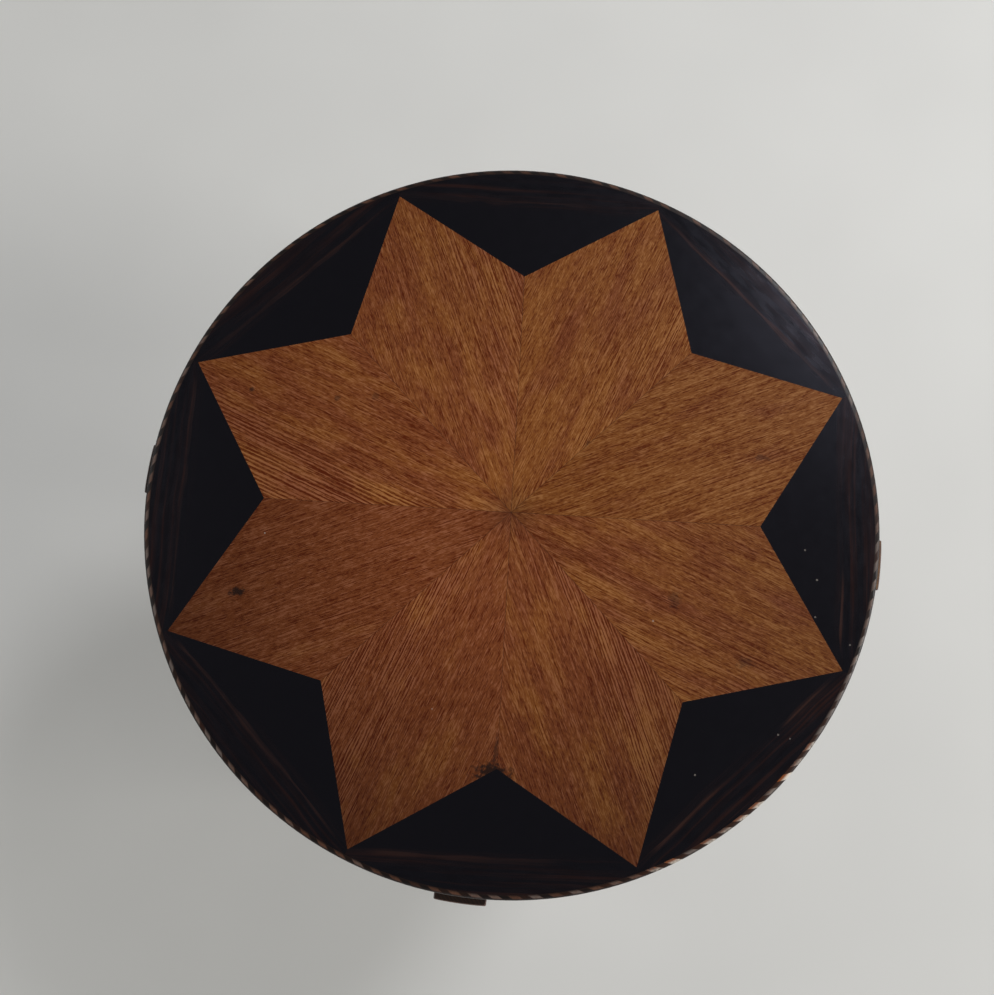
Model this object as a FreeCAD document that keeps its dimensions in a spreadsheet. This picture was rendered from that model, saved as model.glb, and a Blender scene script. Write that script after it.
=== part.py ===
"""Round side table: an eight-point star of marquetry on four legs. Millimetres, +Z up.

The origin is on the floor under the middle of the top. The front leg stands on -Y, and the other three
on +X, +Y and -X.
"""
import FreeCAD, Part
import math
import os

import Sketcher

doc = FreeCAD.newDocument("side_table")
sheet = doc.addObject("Spreadsheet::Sheet", "sizes")

LEGS = ("right", "back", "left", "front")

# Driving dimensions: lengths in millimetres, angles in degrees, and counts.
DIMENSIONS = (
    ("table_height", 600.0, "floor to the face of the star"),
    ("top_diameter", 600.0, "across the banding"),
    ("face_veneer", 1.2, "thickness of the star and of the fields"),
    ("core_thickness", 22.8, "thickness of the board under the veneer"),
    ("back_veneer", 1.0, "thickness of the balancing veneer"),
    ("lipping_width", 14.0, "solid edge round the core, measured to the rim"),
    ("star_points", 8, "lozenges, and fields between them"),
    ("star_turn", 4.3, "how far the star's notches are turned from the legs"),
    ("star_tip_margin", 4.3, "dark veneer between a tip and the banding"),
    ("star_notch_depth", 88.7, "from the circle of the tips in to the notches"),
    ("banding_width", 4.5, "banding seen from above"),
    ("banding_depth", 5.0, "banding seen from the side"),
    ("banding_pairs", 120, "light and dark blocks round the rim"),
    ("banding_lean", 7.5, "run of a slanted joint along the rim"),
    ("banding_arris", 1.2, "eased upper edge of the banding"),
    ("leg_width", 42.0, "along the rim"),
    ("leg_depth", 44.0, "from the bowed face to the inner face"),
    ("leg_stand_out", 11.5, "how far the bowed face stands past the rim"),
    ("leg_foot_width", 30.0, "along the rim, at the floor"),
    ("leg_straight", 16.0, "straight stretch between the apron and the taper"),
    ("apron_height", 72.0, "rail between two legs"),
    ("apron_thickness", 20.0, "rail between two legs"),
    ("apron_setback", 10.0, "from the rim in to the bowed face of the rail"),
    ("tenon_thickness", 9.0, "tenon on the end of an apron"),
    ("tenon_length", 15.0, "tenon on the end of an apron"),
    ("tenon_shoulder", 10.0, "above and below an apron's tenon"),
    ("stretcher_level", 132.0, "floor to the underside of the cross"),
    ("stretcher_width", 30.0, "bar of the cross"),
    ("stretcher_height", 22.0, "bar of the cross"),
    ("cross_tenon_width", 16.0, "tenon on the end of a bar"),
    ("cross_tenon_height", 12.0, "tenon on the end of a bar"),
    ("cross_tenon_length", 18.0, "tenon on the end of a bar"),
    ("joint_clearance", 0.15, "glue room round a tenon, a tongue, a screw or a nail"),
    ("button_width", 28.0, "wooden button that holds the top, along the apron"),
    ("button_body", 30.0, "from the apron inwards"),
    ("button_slot_drop", 9.0, "underside of the top down to the slot in the apron"),
    ("button_pull", 0.5, "gap that lets the screw pull the top down"),
    ("tongue_thickness", 7.0, "tongue of a button"),
    ("tongue_length", 8.0, "tongue of a button"),
    ("screw_inset", 15.0, "from the apron in to the screw"),
    ("screw_diameter", 4.0, "plain shank"),
    ("screw_head", 8.0, "countersunk head, across"),
    ("screw_head_height", 2.4, "countersunk head"),
    ("screw_length", 28.0, "with its head"),
    ("glide_diameter", 20.0, "nailed glide, across its edge"),
    ("glide_sole", 12.0, "flat of a glide that meets the floor, across"),
    ("glide_height", 3.0, "nailed glide under a foot"),
    ("nail_thickness", 2.6, "square nail of a glide"),
    ("nail_length", 16.0, "square nail of a glide"),
)
for row, (alias, amount, meaning) in enumerate(DIMENSIONS, start=1):
    sheet.set(f"A{row}", alias)
    sheet.set(f"B{row}", str(amount))
    sheet.setAlias(f"B{row}", alias)
    sheet.set(f"C{row}", meaning)
doc.recompute()

# Radii and levels that several pieces share, as expressions of the driving dimensions.
RIM = "(sizes.top_diameter / 2)"
BANDING_INNER = f"({RIM} - sizes.banding_width)"
STAR_TIP = f"({BANDING_INNER} - sizes.star_tip_margin)"
STAR_NOTCH = f"({STAR_TIP} - sizes.star_notch_depth)"
CORE_EDGE = f"({RIM} - sizes.lipping_width)"
LEG_FACE = f"({RIM} + sizes.leg_stand_out)"
LEG_INNER = f"({LEG_FACE} - sizes.leg_depth)"
LEG_SIDE = "(sizes.leg_width / 2)"
APRON_FACE = f"({RIM} - sizes.apron_setback)"
APRON_INNER = f"({APRON_FACE} - sizes.apron_thickness)"
APRON_MIDDLE = f"({APRON_FACE} - sizes.apron_thickness / 2)"
TENON_CENTRE = f"sqrt({APRON_MIDDLE} ^ 2 - {LEG_SIDE} ^ 2)"
CORE_TOP = "(sizes.table_height - sizes.face_veneer)"
CORE_BOTTOM = f"({CORE_TOP} - sizes.core_thickness)"
UNDERSIDE = f"({CORE_BOTTOM} - sizes.back_veneer)"
APRON_BOTTOM = f"({UNDERSIDE} - sizes.apron_height)"
SLOT_TOP = f"({UNDERSIDE} - sizes.button_slot_drop)"
SLOT_BOTTOM = f"({SLOT_TOP} - sizes.tongue_thickness)"
SCREW_CIRCLE = f"({APRON_INNER} - sizes.screw_inset)"
SCREW_HOLE = "(sizes.screw_diameter / 2 + sizes.joint_clearance)"
SCREW_END = f"({SLOT_BOTTOM} + sizes.screw_length)"
FOOT_CENTRE = f"({LEG_FACE} - sizes.leg_depth / 2)"
CROSS_TOP = "(sizes.stretcher_level + sizes.stretcher_height)"
CROSS_MIDDLE = "(sizes.stretcher_level + sizes.stretcher_height / 2)"
STAR_STEP = "(360 / sizes.star_points)"
LEG_COUNT = str(len(LEGS))
LEG_STEP = f"(360 / {LEG_COUNT})"
APRON_CENTRE = f"({LEG_STEP} / 2)"


def amount_of(expression):
    """Number that an expression of the sheet gives now."""
    return float(sheet.evalExpression(expression))


def new_body(label, turn="0"):
    """Body turned about Z by the angle that an expression gives."""
    body = doc.addObject("PartDesign::Body", label)
    body.Label = label
    body.Placement = FreeCAD.Placement(FreeCAD.Vector(), FreeCAD.Rotation(FreeCAD.Vector(0, 0, 1), 0))
    body.setExpression("Placement.Rotation.Angle", turn)
    return body


def new_sketch(body, name, plane="XY_Plane", lift="0", shift="0", turn="0"):
    """Sketch on one of the body's planes, lifted off it, shifted along its first axis and turned."""
    sketch = body.newObject("Sketcher::SketchObject", f"{body.Name}_{name}")
    support = [feature for feature in body.Origin.OriginFeatures if feature.Role == plane][0]
    sketch.AttachmentSupport = [(support, "")]
    sketch.MapMode = "FlatFace"
    sketch.setExpression("AttachmentOffset.Base.z", lift)
    sketch.setExpression("AttachmentOffset.Base.x", shift)
    sketch.setExpression("AttachmentOffset.Rotation.Angle", turn)
    return sketch


def fix_size(sketch, kind, geometry, expression):
    """Dimension of a sketch, bound to an expression."""
    index = sketch.addConstraint(Sketcher.Constraint(kind, *geometry, amount_of(expression)))
    sketch.setExpression(f"Constraints[{index}]", expression)


def draw_outline(sketch, corners, arcs=None):
    """Closed outline through corners, each an (x, y) pair of expressions.

    arcs gives, for the number of a side, the expression of its radius about the sketch's origin. A corner
    where an arc ends has one coordinate left as None, because the arc settles it.
    """
    arcs = arcs or {}
    count = len(corners)
    points = []
    for index, (across, along) in enumerate(corners):
        radius = arcs.get(index, arcs.get((index - 1) % count))
        if across is None:
            across = f"sqrt({radius} ^ 2 - ({along}) ^ 2)"
        if along is None:
            along = f"sqrt({radius} ^ 2 - ({across}) ^ 2)"
        points.append(FreeCAD.Vector(amount_of(across), amount_of(along), 0))

    ends = []
    first = sketch.GeometryCount
    for index, start in enumerate(points):
        stop = points[(index + 1) % count]
        if index not in arcs:
            sketch.addGeometry(Part.LineSegment(start, stop))
            ends.append((1, 2))
            continue
        circle = Part.Circle(FreeCAD.Vector(), FreeCAD.Vector(0, 0, 1), amount_of(arcs[index]))
        angles = [math.atan2(point.y, point.x) for point in (start, stop)]
        sketch.addGeometry(Part.ArcOfCircle(circle, min(angles), max(angles)))
        ends.append((1, 2) if angles[0] < angles[1] else (2, 1))
        sketch.addConstraint(Sketcher.Constraint("Coincident", first + index, 3, -1, 1))
        fix_size(sketch, "Radius", (first + index,), arcs[index])

    for index, (across, along) in enumerate(corners):
        side = first + index
        before = first + (index - 1) % count
        end_before = ends[(index - 1) % count][1]
        sketch.addConstraint(Sketcher.Constraint("Coincident", before, end_before, side, ends[index][0]))
        for kind, axis, expression in (("DistanceX", -2, across), ("DistanceY", -1, along)):
            if expression == "0":
                sketch.addConstraint(Sketcher.Constraint("PointOnObject", side, ends[index][0], axis))
            elif expression is not None:
                fix_size(sketch, kind, (-1, 1, side, ends[index][0]), expression)


def draw_circle(sketch, radius):
    """Circle about the sketch's origin."""
    index = sketch.addGeometry(Part.Circle(FreeCAD.Vector(), FreeCAD.Vector(0, 0, 1), amount_of(radius)))
    sketch.addConstraint(Sketcher.Constraint("Coincident", index, 3, -1, 1))
    fix_size(sketch, "Radius", (index,), radius)


def rectangle(left, right, low, high):
    """Corners of a rectangle between four expressions."""
    return ((left, low), (right, low), (right, high), (left, high))


def pad(sketch, length):
    """Solid from a sketch up along its normal."""
    feature = sketch.getParentGeoFeatureGroup().newObject("PartDesign::Pad", f"{sketch.Name}_pad")
    feature.Profile = sketch
    feature.setExpression("Length", length)


def cut(sketch, length=None, onwards=False):
    """Pocket from a sketch down against its normal, or onwards along it; with no length, right through."""
    body = sketch.getParentGeoFeatureGroup()
    doc.recompute()
    before = body.Shape.Volume
    feature = body.newObject("PartDesign::Pocket", f"{sketch.Name}_cut")
    feature.Profile = sketch
    feature.Reversed = onwards
    if length is None:
        feature.Type = "ThroughAll"
    else:
        feature.setExpression("Length", length)
    doc.recompute()
    if body.Shape.Volume >= before:
        raise RuntimeError(f"{feature.Name} cuts nothing")
    return feature


def turn_solid(sketch):
    """Solid turned about the sketch's upright axis."""
    feature = sketch.getParentGeoFeatureGroup().newObject("PartDesign::Revolution", f"{sketch.Name}_turned")
    feature.Profile = sketch
    feature.ReferenceAxis = (sketch, ["V_Axis"])
    feature.Angle = 360


def turn_cut(sketch):
    """Groove turned about the sketch's upright axis."""
    body = sketch.getParentGeoFeatureGroup()
    doc.recompute()
    before = body.Shape.Volume
    feature = body.newObject("PartDesign::Groove", f"{sketch.Name}_groove")
    feature.Profile = sketch
    feature.ReferenceAxis = (sketch, ["V_Axis"])
    feature.Angle = 360
    doc.recompute()
    if body.Shape.Volume >= before:
        raise RuntimeError(f"{feature.Name} cuts nothing")


def repeat_round(body, count, features=None):
    """The features, or else the whole body so far, repeated evenly about Z."""
    upright = [feature for feature in body.Origin.OriginFeatures if feature.Role == "Z_Axis"][0]
    pattern = body.newObject("PartDesign::PolarPattern", f"{body.Name}_round")
    if features is None:
        pattern.TransformMode = "Whole shape"
    else:
        pattern.Originals = features
    pattern.Axis = (upright, [""])
    pattern.Angle = 360
    pattern.setExpression("Occurrences", count)
    body.Tip = pattern


def star_lozenge(label, turn):
    """Kite of veneer from the middle of the top to one tip of the star."""
    body = new_body(label, turn)
    plan = new_sketch(body, "plan", lift=CORE_TOP)
    shoulder = f"{STAR_NOTCH} * cos({STAR_STEP} / 2)"
    spread = f"{STAR_NOTCH} * sin({STAR_STEP} / 2)"
    draw_outline(plan, (("0", "0"), (shoulder, f"-{spread}"), (STAR_TIP, "0"), (shoulder, spread)))
    pad(plan, "sizes.face_veneer")
    return body


def ebony_field(label, turn):
    """Dark veneer between two tips of the star, out to the banding."""
    body = new_body(label, turn)
    plan = new_sketch(body, "plan", lift=CORE_TOP)
    tip = (f"{STAR_TIP} * cos({STAR_STEP} / 2)", f"{STAR_TIP} * sin({STAR_STEP} / 2)")
    edge = f"{BANDING_INNER} * sin({STAR_STEP} / 2)"
    corners = ((STAR_NOTCH, "0"), tip, (None, edge), (None, f"-{edge}"), (tip[0], f"-{tip[1]}"))
    draw_outline(plan, corners, {2: BANDING_INNER})
    pad(plan, "sizes.face_veneer")
    return body


def banding(label, turn):
    """Ring of slanted blocks in the rebate of the lipping, with gaps for the blocks of the other wood."""
    body = new_body(label, turn)
    plan = new_sketch(body, "plan", lift="sizes.table_height - sizes.banding_depth")
    half_block = "(90 deg / sizes.banding_pairs)"
    lean = f"asin(sizes.banding_lean / {RIM})"
    inner = f"{BANDING_INNER} / cos({half_block})"
    corners = (
        (RIM, f"(-{half_block})"), (RIM, half_block),
        (inner, f"({half_block} - {lean})"), (inner, f"(-{half_block} - {lean})"),
    )
    draw_outline(plan, [(f"{radius} * cos{angle}", f"{radius} * sin{angle}") for radius, angle in corners])
    pad(plan, "sizes.banding_depth")
    arris = new_sketch(body, "arris", "XZ_Plane", lift=f"{RIM} * sin{half_block} + sizes.banding_lean")
    face = f"{RIM} * cos{half_block}"
    draw_outline(arris, (
        (f"{face} - sizes.banding_arris", "sizes.table_height"),
        (face, "sizes.table_height - sizes.banding_arris"), (face, "sizes.table_height"),
    ))
    cut(arris)
    repeat_round(body, "sizes.banding_pairs")
    return body


def edge_lipping():
    """Solid edge round the core, with a rebate for the banding."""
    body = new_body("edge_lipping")
    section = new_sketch(body, "section", "XZ_Plane")
    rebate = "sizes.table_height - sizes.banding_depth"
    draw_outline(section, (
        (CORE_EDGE, UNDERSIDE), (RIM, UNDERSIDE), (RIM, rebate),
        (BANDING_INNER, rebate), (BANDING_INNER, CORE_TOP), (CORE_EDGE, CORE_TOP),
    ))
    turn_solid(section)
    return body


def drilled_disc(label, level, thickness, depth):
    """Round board with a ring of screw holes from below."""
    body = new_body(label, APRON_CENTRE)
    plan = new_sketch(body, "plan", lift=level)
    draw_circle(plan, CORE_EDGE)
    pad(plan, thickness)
    hole = new_sketch(body, "hole", lift=level, shift=SCREW_CIRCLE)
    draw_circle(hole, SCREW_HOLE)
    drilled = cut(hole, depth, onwards=True)
    repeat_round(body, LEG_COUNT, [drilled])
    return body


def leg(label, turn):
    """Leg with a bowed outer face, sides tapered to the foot, and mortises for the rails and the nail."""
    body = new_body(label, turn)
    plan = new_sketch(body, "plan", lift="sizes.glide_height")
    corners = ((LEG_INNER, f"-{LEG_SIDE}"), (None, f"-{LEG_SIDE}"), (None, LEG_SIDE), (LEG_INNER, LEG_SIDE))
    draw_outline(plan, corners, {1: LEG_FACE})
    pad(plan, f"{UNDERSIDE} - sizes.glide_height")

    taper_top = f"{APRON_BOTTOM} - sizes.leg_straight"
    for name, side in (("left_taper", "-1"), ("right_taper", "1")):
        taper = new_sketch(body, name, "YZ_Plane")
        edge = f"{side} * {LEG_SIDE}"
        toe = f"{side} * sizes.leg_foot_width / 2"
        draw_outline(taper, ((edge, taper_top), (toe, "sizes.glide_height"), (edge, "sizes.glide_height")))
        cut(taper, onwards=True)

    room = "sizes.joint_clearance"
    mortise_top = f"{UNDERSIDE} - sizes.tenon_shoulder + {room}"
    mortise_height = f"sizes.apron_height - 2 * sizes.tenon_shoulder + 2 * {room}"
    half_mortise = f"(sizes.tenon_thickness / 2 + {room})"
    inner = f"{TENON_CENTRE} - {half_mortise}"
    outer = f"{TENON_CENTRE} + {half_mortise}"
    mortises = new_sketch(body, "mortises", lift=mortise_top)
    for side in ("-1", "1"):
        end = f"{side} * ({LEG_SIDE} - sizes.tenon_length - {room})"
        draw_outline(mortises, rectangle(inner, outer, f"{side} * {LEG_SIDE}", end))
    cut(mortises, mortise_height)

    cross = new_sketch(body, "cross_mortise", "YZ_Plane", lift=LEG_INNER)
    half_width = f"(sizes.cross_tenon_width / 2 + {room})"
    half_height = f"(sizes.cross_tenon_height / 2 + {room})"
    draw_outline(cross, rectangle(
        f"-{half_width}", half_width, f"{CROSS_MIDDLE} - {half_height}", f"{CROSS_MIDDLE} + {half_height}"
    ))
    cut(cross, f"sizes.cross_tenon_length + {room}", onwards=True)

    nail = new_sketch(body, "nail_hole", lift="sizes.glide_height", shift=FOOT_CENTRE)
    half_nail = f"(sizes.nail_thickness / 2 + {room})"
    draw_outline(nail, rectangle(f"-{half_nail}", half_nail, f"-{half_nail}", half_nail))
    cut(nail, f"sizes.nail_length + {room}", onwards=True)
    return body


def apron(label, turn):
    """Bowed rail from one leg to the next, with a tenon on each end and a slot for a button."""
    body = new_body(label, turn)
    plan = new_sketch(body, "plan", lift=APRON_BOTTOM)
    shoulder = ((None, LEG_SIDE), (None, LEG_SIDE))
    far_shoulder = ((LEG_SIDE, None), (LEG_SIDE, None))
    draw_outline(plan, shoulder + far_shoulder, {1: APRON_FACE, 3: APRON_INNER})
    pad(plan, "sizes.apron_height")

    tenons = new_sketch(body, "tenons", lift=f"{APRON_BOTTOM} + sizes.tenon_shoulder")
    end = f"({LEG_SIDE} - sizes.tenon_length)"
    inner = f"{TENON_CENTRE} - sizes.tenon_thickness / 2"
    outer = f"{TENON_CENTRE} + sizes.tenon_thickness / 2"
    draw_outline(tenons, rectangle(inner, outer, end, LEG_SIDE))
    draw_outline(tenons, rectangle(end, LEG_SIDE, inner, outer))
    pad(tenons, "sizes.apron_height - 2 * sizes.tenon_shoulder")

    half_slot = "(sizes.button_width / 2 + sizes.joint_clearance)"
    slot_end = f"{APRON_INNER} + sizes.tongue_length + sizes.joint_clearance"
    slot_mouth = f"{APRON_INNER} - sizes.tongue_length"
    slot = new_sketch(body, "slot", lift=SLOT_TOP, turn=APRON_CENTRE)
    draw_outline(slot, rectangle(slot_mouth, slot_end, f"-{half_slot}", half_slot))
    cut(slot, "sizes.tongue_thickness + sizes.joint_clearance")
    return body


def stretcher(label, turn, lap_top):
    """Bar of the low cross, tenoned into two legs and halved over the other bar."""
    body = new_body(label, turn)
    plan = new_sketch(body, "plan", lift="sizes.stretcher_level")
    half_width = "(sizes.stretcher_width / 2)"
    draw_outline(plan, rectangle(f"-{LEG_INNER}", LEG_INNER, f"-{half_width}", half_width))
    pad(plan, "sizes.stretcher_height")

    tenons = new_sketch(body, "tenons", lift=f"{CROSS_MIDDLE} - sizes.cross_tenon_height / 2")
    end = f"({LEG_INNER} + sizes.cross_tenon_length)"
    half_tenon = "(sizes.cross_tenon_width / 2)"
    draw_outline(tenons, rectangle(f"-{end}", end, f"-{half_tenon}", half_tenon))
    pad(tenons, "sizes.cross_tenon_height")

    lap = new_sketch(body, "lap", lift=lap_top)
    room = f"({half_width} + sizes.joint_clearance)"
    draw_outline(lap, rectangle(f"-{room}", room, f"-{room}", room))
    cut(lap, "sizes.stretcher_height / 2")
    return body


def table_buttons():
    """Wooden buttons: a block under the top with a tongue in the apron and a countersunk screw hole."""
    body = new_body("table_buttons", APRON_CENTRE)
    profile = new_sketch(body, "profile", "XZ_Plane", lift="-sizes.button_width / 2")
    back = f"{APRON_INNER} - sizes.button_body"
    face = f"{APRON_INNER} - sizes.button_pull"
    tip = f"{APRON_INNER} + sizes.tongue_length"
    top = f"{UNDERSIDE} - sizes.button_pull"
    draw_outline(profile, (
        (back, SLOT_BOTTOM), (tip, SLOT_BOTTOM), (tip, SLOT_TOP), (face, SLOT_TOP), (face, top), (back, top),
    ))
    pad(profile, "sizes.button_width")
    hole = new_sketch(body, "hole", "XZ_Plane", shift=SCREW_CIRCLE)
    head = "sizes.screw_head / 2 + sizes.joint_clearance"
    neck = f"{SLOT_BOTTOM} + sizes.screw_head_height"
    draw_outline(hole, (
        ("0", SLOT_BOTTOM), (head, SLOT_BOTTOM), (SCREW_HOLE, neck), (SCREW_HOLE, top), ("0", top),
    ))
    turn_cut(hole)
    repeat_round(body, LEG_COUNT)
    return body


def button_screws():
    """Countersunk screws from the buttons up into the core."""
    body = new_body("button_screws", APRON_CENTRE)
    profile = new_sketch(body, "profile", "XZ_Plane", shift=SCREW_CIRCLE)
    shank = "sizes.screw_diameter / 2"
    draw_outline(profile, (
        ("0", SLOT_BOTTOM), ("sizes.screw_head / 2", SLOT_BOTTOM),
        (shank, f"{SLOT_BOTTOM} + sizes.screw_head_height"), (shank, SCREW_END), ("0", SCREW_END),
    ))
    turn_solid(profile)
    repeat_round(body, LEG_COUNT)
    return body


def leg_glides():
    """Domed metal glides, each with a square nail in a foot."""
    body = new_body("leg_glides")
    profile = new_sketch(body, "profile", "XZ_Plane", shift=FOOT_CENTRE)
    draw_outline(profile, (
        ("0", "0"), ("sizes.glide_sole / 2", "0"),
        ("sizes.glide_diameter / 2", "sizes.glide_height"), ("0", "sizes.glide_height"),
    ))
    turn_solid(profile)
    nail = new_sketch(body, "nail", lift="sizes.glide_height", shift=FOOT_CENTRE)
    half_nail = "(sizes.nail_thickness / 2)"
    draw_outline(nail, rectangle(f"-{half_nail}", half_nail, f"-{half_nail}", half_nail))
    pad(nail, "sizes.nail_length")
    repeat_round(body, LEG_COUNT)
    return body


pieces = [
    drilled_disc("top_core", CORE_BOTTOM, "sizes.core_thickness", f"{SCREW_END} - {CORE_BOTTOM}"),
    drilled_disc("back_veneer", UNDERSIDE, "sizes.back_veneer", "sizes.back_veneer"),
    edge_lipping(),
    banding("banding_light", "0"),
    banding("banding_dark", "180 / sizes.banding_pairs"),
    table_buttons(),
    button_screws(),
    leg_glides(),
    stretcher("stretcher_side", "0", CROSS_TOP),
    stretcher("stretcher_front", LEG_STEP, CROSS_MIDDLE),
]
for number in range(int(amount_of("sizes.star_points"))):
    notch = f"sizes.star_turn + {number} * {STAR_STEP}"
    pieces.append(star_lozenge(f"star_lozenge_{number + 1}", f"{notch} + {STAR_STEP} / 2"))
    pieces.append(ebony_field(f"ebony_field_{number + 1}", notch))
for number, name in enumerate(LEGS):
    pieces.append(leg(f"leg_{name}", f"{number} * {LEG_STEP}"))
    pieces.append(apron(f"apron_{number + 1}", f"{number} * {LEG_STEP}"))

doc.recompute()
for item in doc.Objects:
    if "Invalid" in item.State or "Error" in item.State:
        raise RuntimeError(f"{item.Name} failed: {item.State}")
for piece in pieces:
    if piece.Shape.isNull() or not piece.Shape.isValid():
        raise RuntimeError(f"{piece.Label} has no valid shape")

os.makedirs("parts", exist_ok=True)
for piece in pieces:
    piece.Shape.exportStep(f"parts/{piece.Label}.step")
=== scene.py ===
"""Looks of a round side table: star marquetry, ebony fields, slanted banding, and a dark polished frame.

Metres, +Z up. The front leg stands on -Y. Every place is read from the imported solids.
"""
import math

import bpy
import numpy as np
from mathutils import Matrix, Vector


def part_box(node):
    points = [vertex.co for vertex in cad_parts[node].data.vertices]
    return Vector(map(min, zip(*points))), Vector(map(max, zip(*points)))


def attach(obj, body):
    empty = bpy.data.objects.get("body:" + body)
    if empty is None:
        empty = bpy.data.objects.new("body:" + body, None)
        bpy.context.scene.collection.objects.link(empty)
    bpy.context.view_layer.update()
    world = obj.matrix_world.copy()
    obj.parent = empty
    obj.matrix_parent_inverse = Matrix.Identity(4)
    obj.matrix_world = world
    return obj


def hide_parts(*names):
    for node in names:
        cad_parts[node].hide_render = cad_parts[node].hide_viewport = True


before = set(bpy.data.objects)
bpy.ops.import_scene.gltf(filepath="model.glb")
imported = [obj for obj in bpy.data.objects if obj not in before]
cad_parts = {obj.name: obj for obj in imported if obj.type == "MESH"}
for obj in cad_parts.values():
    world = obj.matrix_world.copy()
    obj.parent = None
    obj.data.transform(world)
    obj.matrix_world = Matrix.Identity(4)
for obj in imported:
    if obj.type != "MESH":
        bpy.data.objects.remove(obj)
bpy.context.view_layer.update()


# The core is a round board of softwood strips glued side by side, with the grain from front to back.
# It carries the veneers, the lipping and the screws of the buttons, and they hide it.
core_pale = (190, 150, 104)
core_brown = (158, 116, 74)
core_strip = 0.024
core_streak = (0.003, 0.12, 0.003)
cloud_roughness = 0.55


def shade(red, green, blue):
    """Colour as a screen shows it, each part from 0 to 255, turned into linear light."""
    part = np.array([red, green, blue]) / 255
    linear = np.where(part <= 0.04045, part / 12.92, ((part + 0.055) / 1.055) ** 2.4)
    return (*linear.tolist(), 1.0)


def new_finish(name, **sockets):
    """Material with one shader. What is the same all over is set on the shader's own sockets."""
    material = bpy.data.materials.new(name)
    material.use_nodes = True
    shader = material.node_tree.nodes["Principled BSDF"]
    for socket, amount in sockets.items():
        shader.inputs[socket.replace("_", " ")].default_value = amount
    return material, material.node_tree, shader


def add(tree, kind, sockets, **settings):
    """Node of a finish. A socket takes a plain value or the output of another node."""
    node = tree.nodes.new(f"ShaderNode{kind}")
    for name, amount in settings.items():
        setattr(node, name, amount)
    for socket, amount in sockets.items():
        if isinstance(amount, bpy.types.NodeSocket):
            tree.links.new(amount, node.inputs[socket])
        else:
            node.inputs[socket].default_value = amount
    return node


def reckon(tree, operation, *terms):
    """One sum on numbers or outputs."""
    return add(tree, "Math", dict(enumerate(terms)), operation=operation).outputs[0]


def rise(tree, amount, low, high):
    """0 up to low, 1 from high on, and a smooth rise between; a fall where low is the larger."""
    sockets = {"Value": amount, "From Min": low, "From Max": high}
    return add(tree, "MapRange", sockets, interpolation_type="SMOOTHSTEP").outputs[0]


def mingle(tree, share, first, second):
    """Colour that goes from the first to the second as share goes from 0 to 1."""
    sockets = {0: share, 6: first, 7: second}
    return add(tree, "Mix", sockets, data_type="RGBA").outputs[2]


def clouds(tree, place, size, seed, detail=2.0):
    """Cloudy pattern from 0 to 1. Size is the length of one cloud along each axis, in metres.

    Every seed takes the clouds from another part of one endless pattern.
    """
    elsewhere = (seed, -seed, 2.7 * seed)
    scale = tuple(1 / side for side in size)
    scaled = add(tree, "Mapping", {"Vector": place, "Location": elsewhere, "Scale": scale}).outputs[0]
    sockets = {"Vector": scaled, "Scale": 1.0, "Detail": detail, "Roughness": cloud_roughness}
    return add(tree, "TexNoise", sockets).outputs[0]


def bump(tree, shader, height, depth):
    """Relief of that depth in metres, where height goes from 0 to 1."""
    sockets = {"Height": height, "Distance": depth, "Strength": 1.0}
    tree.links.new(add(tree, "Bump", sockets).outputs[0], shader.inputs["Normal"])


def dress(node, material):
    """Gives a CAD node its finish."""
    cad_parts[node].material_slots[0].material = material


def own_place(tree):
    """Place of a point in the object's own coordinates, in metres."""
    return add(tree, "TexCoord", {}).outputs["Object"]


def core_finish():
    """Bare softwood: strips of two tones side by side, with soft streaks along them."""
    material, tree, shader = new_finish("core_softwood", Roughness=0.8)
    place = own_place(tree)
    across = add(tree, "SeparateXYZ", {"Vector": place}).outputs["X"]
    strip = reckon(tree, "FLOOR", reckon(tree, "DIVIDE", across, core_strip))
    tone = add(tree, "TexWhiteNoise", {"W": strip}, noise_dimensions="1D").outputs["Value"]
    streak = clouds(tree, place, core_streak, 3.0)
    share = reckon(tree, "MULTIPLY_ADD", streak, 0.8, reckon(tree, "MULTIPLY", tone, 0.4))
    colour = mingle(tree, rise(tree, share, 0.2, 1.0), shade(*core_brown), shade(*core_pale))
    tree.links.new(colour, shader.inputs["Base Color"])
    return material


dress("top_core", core_finish())


# The lipping is a strip of solid dark wood bent and glued round the core, whose ends meet over the right leg.
# A rebate in its upper edge takes the banding, and its lower edge is eased with sandpaper.
lipping_dark = (31, 21, 18)
lipping_streak = (86, 50, 34)
lipping_broad_grain = (0.25, 0.007, 1)
lipping_fine_grain = (0.10, 0.0012, 1)
lipping_relief = 0.00004
lipping_easing = 0.0025
lipping_stations = 240
sharp_edge = math.radians(32)


def points_of(node):
    """Corner points of a CAD node, one row each."""
    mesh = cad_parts[node].data
    points = np.empty(3 * len(mesh.vertices), np.float32)
    mesh.vertices.foreach_get("co", points)
    return points.reshape(-1, 3).astype(float)


def radii_of(node):
    """Nearest and farthest distance of a CAD node's corners from the upright axis."""
    reach = np.hypot(*points_of(node)[:, :2].T)
    return reach.min(), reach.max()


def eased(corners, easing, steps=4):
    """Outline with its corners eased: each corner gives a parabola from one side to the next.

    easing is the length that is taken off both sides at a corner, 0 for a sharp one.
    """
    corners = np.asarray(corners, float)
    easing = np.broadcast_to(easing, len(corners))
    back = np.roll(corners, 1, axis=0) - corners
    ahead = np.roll(corners, -1, axis=0) - corners
    back *= (easing / np.linalg.norm(back, axis=1))[:, None]
    ahead *= (easing / np.linalg.norm(ahead, axis=1))[:, None]
    share = np.linspace(0, 1, steps + 1)[None, :, None]
    curve = corners[:, None] + (1 - share) ** 2 * back[:, None] + share ** 2 * ahead[:, None]
    kept = [row if ease else row[:1] for row, ease in zip(curve, easing)]
    return np.concatenate(kept)


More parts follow.
